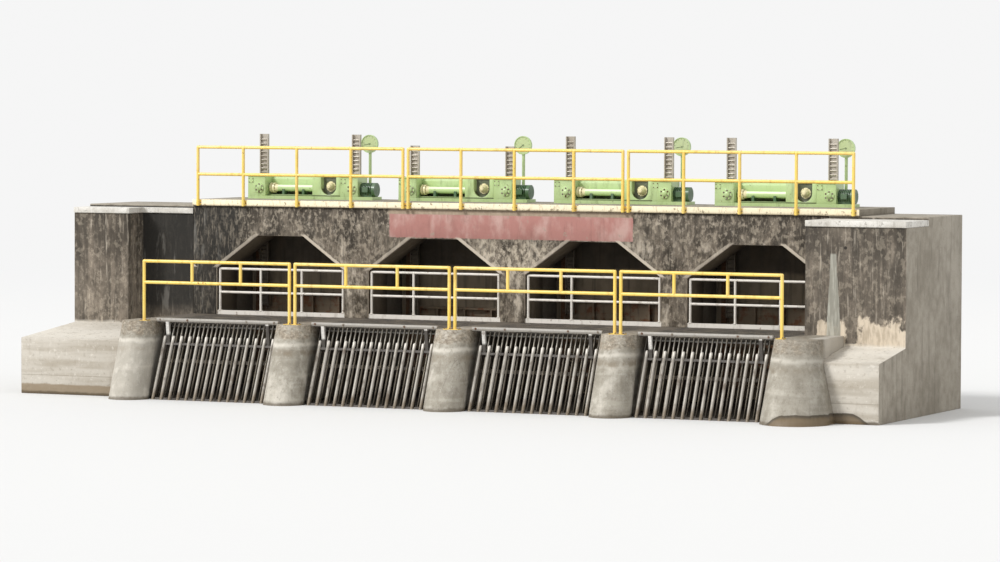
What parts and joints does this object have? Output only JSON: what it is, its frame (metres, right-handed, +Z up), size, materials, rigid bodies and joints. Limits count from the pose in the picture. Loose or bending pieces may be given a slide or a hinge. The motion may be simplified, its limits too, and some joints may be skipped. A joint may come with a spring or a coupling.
{
  "type": "sluice gate",
  "caption": "River intake sluice: lifting gates with pin racks under a concrete hoist deck, behind leaning trash racks between round-nosed piers, with railings.",
  "frame": {"origin": "under the middle pier, at the level of the piers' feet, in the plane of the headwall's river face", "axes": "+X along the headwall to the right as seen from the river, +Y from the river into the bank, +Z up"},
  "size_m": [17.2, 5.5366, 4.915],
  "materials": {
    "pier_concrete": "rough, water-stained concrete",
    "bank_concrete": "weathered concrete, dark streaks over a paler foot",
    "coping_concrete": "pale concrete",
    "headwall_concrete": "dark streaked concrete with pale lichen",
    "well_concrete": "damp dark concrete",
    "deck_concrete": "concrete with a cream painted edge",
    "walkway_steel": "dark worn chequer plate",
    "galvanised_steel": "dull galvanised",
    "rusted_rack": "dark rusted flat bars",
    "grey_bars": "weathered grey round bars",
    "yellow_paint": "worn yellow enamel",
    "grey_paint": "pale grey enamel",
    "guide_steel": "rusty steel",
    "gate_paint": "brown paint with rust and silt",
    "bare_steel": "greased bare steel",
    "dark_green_paint": "dark green enamel",
    "pale_green_paint": "pale green enamel",
    "dial_paint": "pale green enamel with a pale face"
  },
  "bodies": {
    "structure": {"pier_1": "pier_concrete", "pier_2": "pier_concrete", "pier_3": "pier_concrete", "pier_4": "pier_concrete", "pier_5": "pier_concrete", "left_bank_wall": "bank_concrete", "right_bank_wall": "bank_concrete", "bank_copings": "coping_concrete", "headwall": "headwall_concrete", "gate_wall": "well_concrete", "mouth_sill": "well_concrete", "mouth_piers": "well_concrete", "floor_slabs": "well_concrete", "deck_slab": "deck_concrete", "walkway_plates": "walkway_steel", "walkway_beams": "galvanised_steel", "trash_rack_1": "rusted_rack", "guard_bars_1": "grey_bars", "trash_rack_2": "rusted_rack", "guard_bars_2": "grey_bars", "trash_rack_3": "rusted_rack", "guard_bars_3": "grey_bars", "trash_rack_4": "rusted_rack", "guard_bars_4": "grey_bars", "walkway_rail_1": "yellow_paint", "walkway_rail_2": "yellow_paint", "walkway_rail_3": "yellow_paint", "walkway_rail_4": "yellow_paint", "opening_rail_1": "grey_paint", "opening_rail_2": "grey_paint", "opening_rail_3": "grey_paint", "opening_rail_4": "grey_paint", "deck_rail_1": "yellow_paint", "deck_rail_2": "yellow_paint", "deck_rail_3": "yellow_paint", "gate_guides": "guide_steel", "hoist_beds": "pale_green_paint", "rack_housings": "pale_green_paint", "hoist_drives": "pale_green_paint", "hoist_motors": "dark_green_paint", "position_dials": "dial_paint"},
    "gate_1": {"gate_leaf_1": "gate_paint", "lifting_racks_1": "bare_steel"},
    "gate_2": {"gate_leaf_2": "gate_paint", "lifting_racks_2": "bare_steel"},
    "gate_3": {"gate_leaf_3": "gate_paint", "lifting_racks_3": "bare_steel"},
    "gate_4": {"gate_leaf_4": "gate_paint", "lifting_racks_4": "bare_steel"}
  },
  "joints": [
    {"name": "gate_1_lift", "type": "slide", "parent": "structure", "child": "gate_1", "axis": [0, 0, 1], "range_m": [-0.2, 1.32]},
    {"name": "gate_2_lift", "type": "slide", "parent": "structure", "child": "gate_2", "axis": [0, 0, 1], "range_m": [0, 1.52]},
    {"name": "gate_3_lift", "type": "slide", "parent": "structure", "child": "gate_3", "axis": [0, 0, 1], "range_m": [-0.2, 1.32]},
    {"name": "gate_4_lift", "type": "slide", "parent": "structure", "child": "gate_4", "axis": [0, 0, 1], "range_m": [-0.2, 1.32]}
  ]
}
